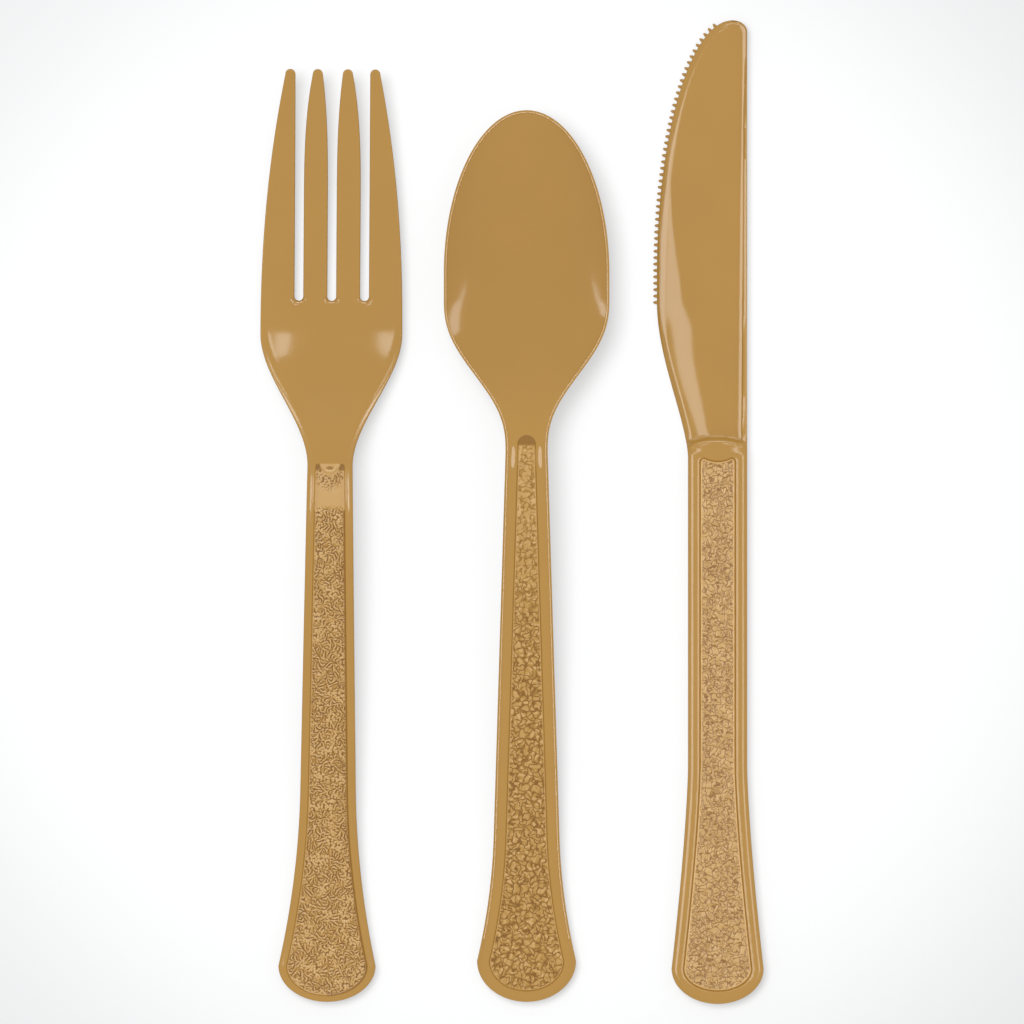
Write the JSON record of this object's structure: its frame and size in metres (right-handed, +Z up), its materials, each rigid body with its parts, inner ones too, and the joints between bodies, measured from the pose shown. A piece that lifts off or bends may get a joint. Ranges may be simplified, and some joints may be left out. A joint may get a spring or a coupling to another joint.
{
  "type": "plastic cutlery set of fork, spoon and knife",
  "caption": "Disposable plastic fork, spoon and serrated knife with grained handle panels, lying face up side by side as a set.",
  "frame": {"origin": "middle of the three as a group, on the surface that they lie on", "axes": "+Y from the handle ends towards the tines, bowl and blade tip, +Z up out of the surface that they lie on, +X from the fork to the knife"},
  "size_m": [0.0972, 0.19, 0.0102],
  "materials": {
    "gold_plastic": "gloss moulded, with a fine grain on the handle panels"
  },
  "bodies": {
    "root": {"fork": "gold_plastic", "spoon": "gold_plastic", "knife": "gold_plastic"}
  },
  "joints": []
}
